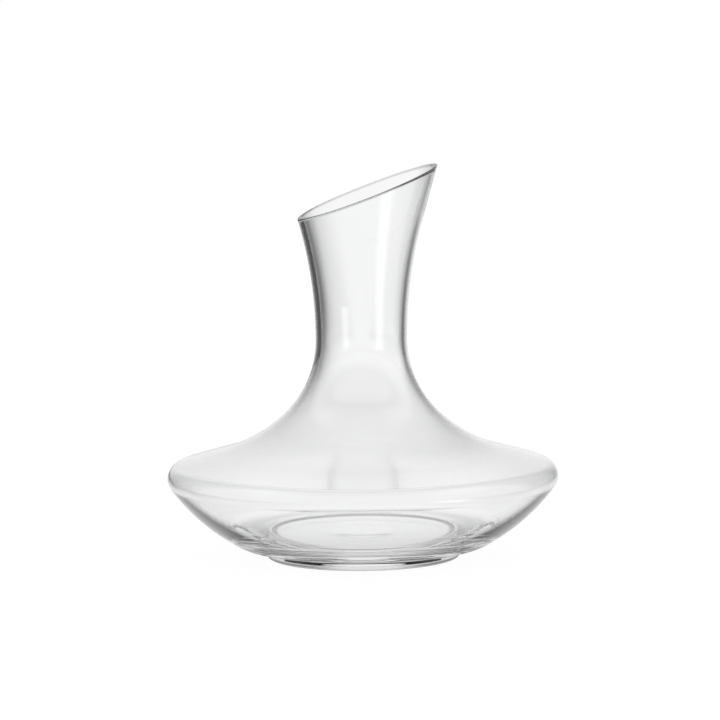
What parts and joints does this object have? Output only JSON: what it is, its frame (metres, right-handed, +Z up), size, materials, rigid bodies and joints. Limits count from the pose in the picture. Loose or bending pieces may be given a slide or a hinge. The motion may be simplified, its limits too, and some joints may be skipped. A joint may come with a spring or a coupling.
{
  "type": "wine decanter",
  "caption": "Clear glass wine decanter: wide low bowl, slim waisted neck that flares to a slanted mouth, standing on a low round foot.",
  "frame": {"origin": "centre of the foot's flat underside, on the axis of the bowl and neck", "axes": "+Z up along the axis of the bowl and neck; +X towards the highest point of the slanted mouth; +Y to the left of +X seen from above"},
  "size_m": [0.205, 0.205, 0.207],
  "materials": {
    "glass": "clear, fire-polished"
  },
  "bodies": {
    "root": {"vessel": "glass", "foot": "glass"}
  },
  "joints": []
}
